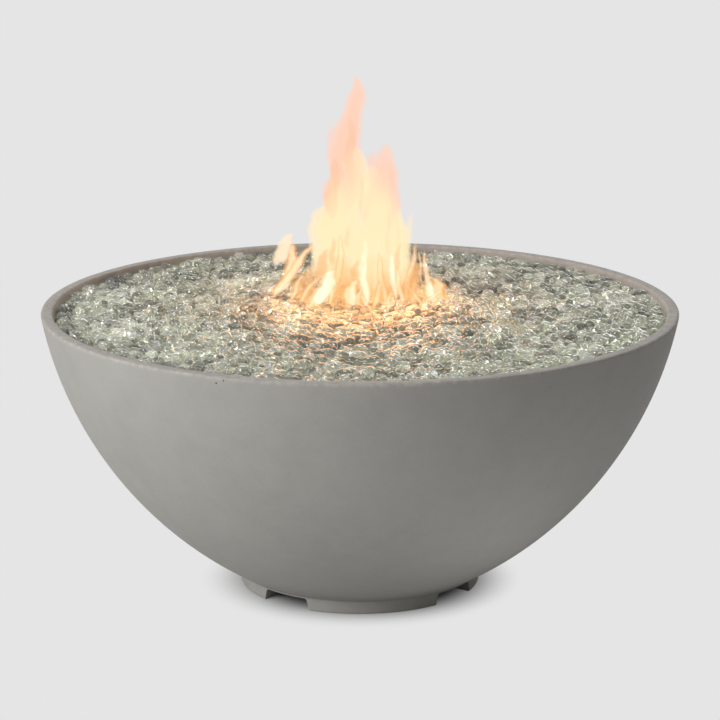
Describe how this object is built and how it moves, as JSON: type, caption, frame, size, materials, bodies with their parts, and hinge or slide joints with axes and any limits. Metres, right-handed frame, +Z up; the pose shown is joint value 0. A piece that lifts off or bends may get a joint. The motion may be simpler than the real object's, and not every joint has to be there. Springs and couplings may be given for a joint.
{
  "type": "gas fire pit bowl",
  "caption": "Round concrete fire bowl on a notched foot ring, with a gas ring burner under a bed of clear glass gems and a valve knob and igniter at the back.",
  "frame": {"origin": "centre of the foot ring on the ground", "axes": "+Z up along the bowl's axis; the control panel faces +Y, and the foot notches lie on X and Y"},
  "size_m": [1.0656, 1.0658, 0.476],
  "materials": {
    "concrete": "matte",
    "stainless": "satin",
    "flex_steel": "satin",
    "stem_steel": "satin",
    "zinc_steel": "satin",
    "brass": "satin",
    "knob_plastic": "matte",
    "igniter_plastic": "satin",
    "button_chrome": "polished",
    "battery_sleeve": "gloss",
    "wire_silicone": "matte",
    "alumina": "satin",
    "copper": "satin",
    "fire_glass": "polished"
  },
  "bodies": {
    "base": {"bowl": "concrete", "burner_pan": "stainless", "pan_screws": "zinc_steel", "burner": "stainless", "burner_legs": "stainless", "leg_screws": "zinc_steel", "leg_nuts": "zinc_steel", "gas_nipple": "stainless", "nipple_locknuts": "stainless", "feed_elbow": "stainless", "air_mixer": "brass", "gas_orifice": "brass", "flex_line": "flex_steel", "supply_line": "brass", "union_nuts": "brass", "inlet_fitting": "brass", "inlet_locknut": "brass", "inlet_strap": "stainless", "strap_screws": "zinc_steel", "control_panel": "stainless", "panel_screws": "zinc_steel", "panel_anchors": "brass", "valve_bonnet": "brass", "valve_screws": "zinc_steel", "valve_body": "brass", "safety_magnet": "stainless", "igniter_barrel": "igniter_plastic", "igniter_nut": "zinc_steel", "button_spring": "stainless", "igniter_battery": "battery_sleeve", "ignition_wire": "wire_silicone", "pilot_bracket": "stainless", "pilot_screws": "zinc_steel", "pilot_nuts": "zinc_steel", "electrode_ceramic": "alumina", "electrode_rod": "stainless", "thermocouple": "copper", "thermocouple_lead": "copper", "fire_glass": "fire_glass", "glass_gems": "fire_glass"},
    "valve_plug": {"valve_plug": "brass", "stem_spring": "stainless"},
    "knob": {"valve_stem": "stem_steel", "control_knob": "knob_plastic"},
    "igniter_button": {"igniter_button": "button_chrome"}
  },
  "joints": [
    {"name": "valve_turn", "type": "hinge", "parent": "base", "child": "valve_plug", "pos_m": [0.024, 0.47424, 0.3], "axis": [0, 0.8924, -0.4513], "range_deg": [0, 210]},
    {"name": "knob_push", "type": "slide", "parent": "valve_plug", "child": "knob", "axis": [0, -0.8924, 0.4513], "range_m": [0, 0.003], "stiffness_N_per_m": 800, "springref_m": -0.004, "deforming": ["stem_spring"]},
    {"name": "igniter_press", "type": "slide", "parent": "base", "child": "igniter_button", "axis": [0, -0.8924, 0.4513], "range_m": [0, 0.003], "stiffness_N_per_m": 600, "springref_m": -0.003, "deforming": ["button_spring"]}
  ]
}
